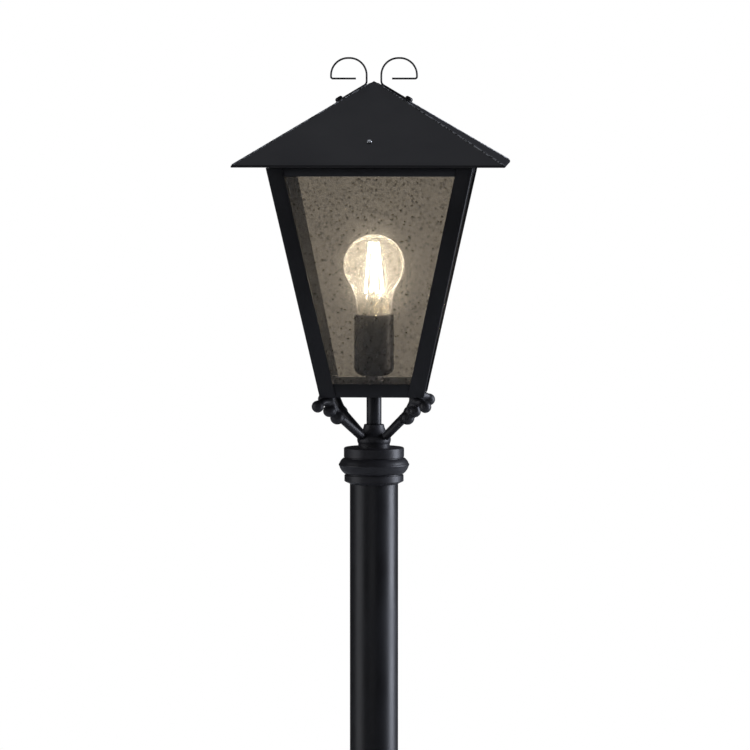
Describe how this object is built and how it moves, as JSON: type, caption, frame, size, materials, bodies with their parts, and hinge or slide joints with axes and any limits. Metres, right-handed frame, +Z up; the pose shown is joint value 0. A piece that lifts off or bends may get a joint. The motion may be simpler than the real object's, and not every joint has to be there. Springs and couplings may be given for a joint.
{
  "type": "post-top lantern",
  "caption": "Square tapering lantern with a pyramid roof and wire scrolls, carried on scroll arms over a moulded collar on a round tube post with a flanged foot.",
  "frame": {"origin": "centre of the foot flange's underside", "axes": "+Z up along the post; -Y is the front pane; the wire scrolls lie in the X-Z plane"},
  "size_m": [0.266, 0.266, 1.2391],
  "materials": {
    "black_painted_steel": "powder coat, satin",
    "black_painted_casting": "painted casting, satin",
    "smoked_seeded_glass": "smoked, fine seeds",
    "zinc_plated_steel": "zinc plated",
    "bright_fixings": "domed, satin",
    "black_wire": "satin",
    "rubber": "matt",
    "brass": "plain",
    "phenolic_plastic": "moulded, semi gloss",
    "porcelain": "glazed",
    "nickel_plated_brass": "nickel plated",
    "clear_bulb_glass": "clear, blown",
    "black_cap_glass": "black vitrite",
    "glowing_filament": "lit, warm white",
    "support_wire": "drawn wire"
  },
  "bodies": {
    "post": {"base_flange": "black_painted_steel", "cable_grommet": "rubber", "post_tube": "black_painted_steel", "grub_screws": "zinc_plated_steel"},
    "roof": {"roof_panel_front": "black_painted_steel", "roof_panel_right": "black_painted_steel", "roof_panel_back": "black_painted_steel", "roof_panel_left": "black_painted_steel", "roof_rest_front": "black_painted_steel", "roof_rest_back": "black_painted_steel", "roof_rivets": "bright_fixings", "scroll_left": "black_wire", "scroll_right": "black_wire", "scroll_screws": "bright_fixings"},
    "bulb": {"bulb_glass": "clear_bulb_glass", "bulb_stem": "clear_bulb_glass", "bulb_cap": "nickel_plated_brass", "bulb_cap_insulator": "black_cap_glass", "bulb_contact": "nickel_plated_brass", "bulb_filaments": "glowing_filament", "bulb_support_wires": "support_wire"},
    "head": {"arm_back_left": "black_painted_casting", "arm_back_right": "black_painted_casting", "arm_front_left": "black_painted_casting", "arm_front_right": "black_painted_casting", "arm_screws": "zinc_plated_steel", "collar": "black_painted_casting", "collar_spigot": "black_painted_steel", "corner_bar_back_left": "black_painted_steel", "corner_bar_back_right": "black_painted_steel", "corner_bar_front_left": "black_painted_steel", "corner_bar_front_right": "black_painted_steel", "earth_screw": "brass", "floor_nut": "zinc_plated_steel", "floor_tray": "black_painted_steel", "floor_washer": "zinc_plated_steel", "glass_back": "smoked_seeded_glass", "glass_front": "smoked_seeded_glass", "glass_left": "smoked_seeded_glass", "glass_right": "smoked_seeded_glass", "hub": "black_painted_casting", "hub_nut": "zinc_plated_steel", "lampholder_contact": "nickel_plated_brass", "lampholder_cup": "phenolic_plastic", "lampholder_insulator": "porcelain", "lampholder_shell": "phenolic_plastic", "lampholder_sleeve": "nickel_plated_brass", "pane_clips": "black_painted_steel", "stem_tube": "black_painted_steel", "threaded_nipple": "zinc_plated_steel", "top_rail_back": "black_painted_steel", "top_rail_front": "black_painted_steel", "top_rail_left": "black_painted_steel", "top_rail_right": "black_painted_steel"}
  },
  "joints": [
    {"name": "head_swivel", "type": "hinge", "parent": "post", "child": "head", "pos_m": [0, 0, 0.83], "axis": [0, 0, 1], "range_deg": [-180, 180]},
    {"name": "roof_lift", "type": "slide", "parent": "head", "child": "roof", "axis": [0, 0, 1], "range_m": [0, 0.12]},
    {"name": "bulb_removal", "type": "slide", "parent": "head", "child": "bulb", "axis": [0, 0, 1], "range_m": [0, 0.12]}
  ]
}
